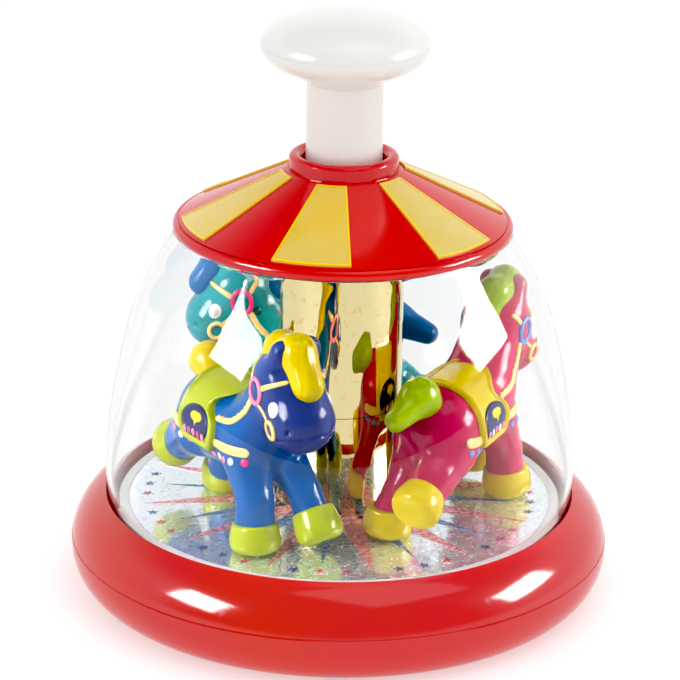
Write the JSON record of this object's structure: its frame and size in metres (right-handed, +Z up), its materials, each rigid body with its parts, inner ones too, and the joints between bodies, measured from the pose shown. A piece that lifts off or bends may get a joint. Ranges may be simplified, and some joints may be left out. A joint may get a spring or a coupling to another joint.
{
  "type": "press-down carousel toy",
  "caption": "Press-down spinning carousel toy: a knob on a stem drives a helical screw that turns small plastic horses around a mirrored column inside a clear dome.",
  "frame": {"origin": "on the centre axis, on the plane the base ring stands on", "axes": "+Z up along the stem; -Y toward the viewer, with the blue horse at front left"},
  "size_m": [0.17, 0.17, 0.186],
  "materials": {
    "red_base_plastic": "glossy moulded",
    "red_canopy_plastic": "glossy moulded",
    "gold_foil_panel": "metallic gold",
    "clear_dome_plastic": "clear polished",
    "white_knob_plastic": "satin moulded",
    "cream_stem_plastic": "smooth moulded",
    "white_inner_plastic": "moulded",
    "nylon_plastic": "natural nylon",
    "steel": "plain",
    "zinc_screw": "zinc plated",
    "flywheel_iron": "dull",
    "gold_mirror_column": "vacuum metallised gold",
    "holographic_foil": "holographic glitter film",
    "blue_body_plastic": "glossy moulded",
    "yellow_trim_plastic": "glossy moulded",
    "lime_trim_plastic": "glossy moulded",
    "pink_body_plastic": "glossy moulded",
    "teal_body_plastic": "glossy moulded",
    "deep_blue_trim_plastic": "glossy moulded",
    "navy_badge_plastic": "printed badge"
  },
  "bodies": {
    "base": {"base_lower_shell": "red_base_plastic", "base_upper_ring": "red_base_plastic", "base_screws": "zinc_screw", "bearing_bush": "nylon_plastic", "dome": "clear_dome_plastic", "dome_screws": "zinc_screw", "canopy": "red_canopy_plastic", "canopy_panels": "gold_foil_panel", "canopy_screws": "zinc_screw", "guide_sleeve": "white_inner_plastic", "sleeve_screws": "zinc_screw", "guide_bush": "nylon_plastic"},
    "plunger": {"knob_cap": "white_knob_plastic", "knob_base": "white_knob_plastic", "stem": "cream_stem_plastic", "drive_nut": "white_inner_plastic", "nut_pins": "steel", "return_spring": "steel"},
    "drive_screw_unit": {"drive_screw": "white_inner_plastic", "clutch_disc": "nylon_plastic", "thrust_washer": "steel", "retaining_clip": "steel", "spring_washer": "steel"},
    "carousel": {"turntable": "white_inner_plastic", "floor_foil": "holographic_foil", "column_lower": "gold_mirror_column", "column_upper": "gold_mirror_column", "flywheel_ring": "flywheel_iron", "flywheel_screws": "zinc_screw", "hub_bush": "nylon_plastic", "ratchet_ring": "white_inner_plastic", "horse_screws": "zinc_screw", "saddle_badges": "navy_badge_plastic", "blue_horse_body": "blue_body_plastic", "blue_horse_mane": "yellow_trim_plastic", "blue_horse_tail": "yellow_trim_plastic", "blue_horse_saddle": "lime_trim_plastic", "blue_hoof_front_outer": "lime_trim_plastic", "blue_hoof_front_inner": "lime_trim_plastic", "blue_hoof_rear_outer": "lime_trim_plastic", "blue_hoof_rear_inner": "lime_trim_plastic", "pink_horse_body": "pink_body_plastic", "pink_horse_mane": "lime_trim_plastic", "pink_horse_tail": "lime_trim_plastic", "pink_horse_saddle": "yellow_trim_plastic", "pink_hoof_front_outer": "yellow_trim_plastic", "pink_hoof_front_inner": "yellow_trim_plastic", "pink_hoof_rear_outer": "yellow_trim_plastic", "pink_hoof_rear_inner": "yellow_trim_plastic", "teal_horse_body": "teal_body_plastic", "teal_horse_mane": "deep_blue_trim_plastic", "teal_horse_tail": "deep_blue_trim_plastic", "teal_horse_saddle": "lime_trim_plastic", "teal_hoof_front_outer": "lime_trim_plastic", "teal_hoof_front_inner": "lime_trim_plastic", "teal_hoof_rear_outer": "lime_trim_plastic", "teal_hoof_rear_inner": "lime_trim_plastic"}
  },
  "joints": [
    {"name": "plunger_press", "type": "slide", "parent": "base", "child": "plunger", "axis": [0, 0, -1], "range_m": [0, 0.022], "stiffness_N_per_m": 450, "springref_m": -0.008, "deforming": ["return_spring"]},
    {"name": "screw_turn", "type": "hinge", "parent": "base", "child": "drive_screw_unit", "pos_m": [0, 0, 0.02], "axis": [0, 0, 1], "range_deg": [0, 361]},
    {"name": "carousel_spin", "type": "hinge", "parent": "drive_screw_unit", "child": "carousel", "pos_m": [0, 0, 0.028], "axis": [0, 0, 1], "continuous": true}
  ],
  "couplings": [
    {"joint": "screw_turn", "follows": "plunger_press", "rad_per_m": 285.6}
  ]
}
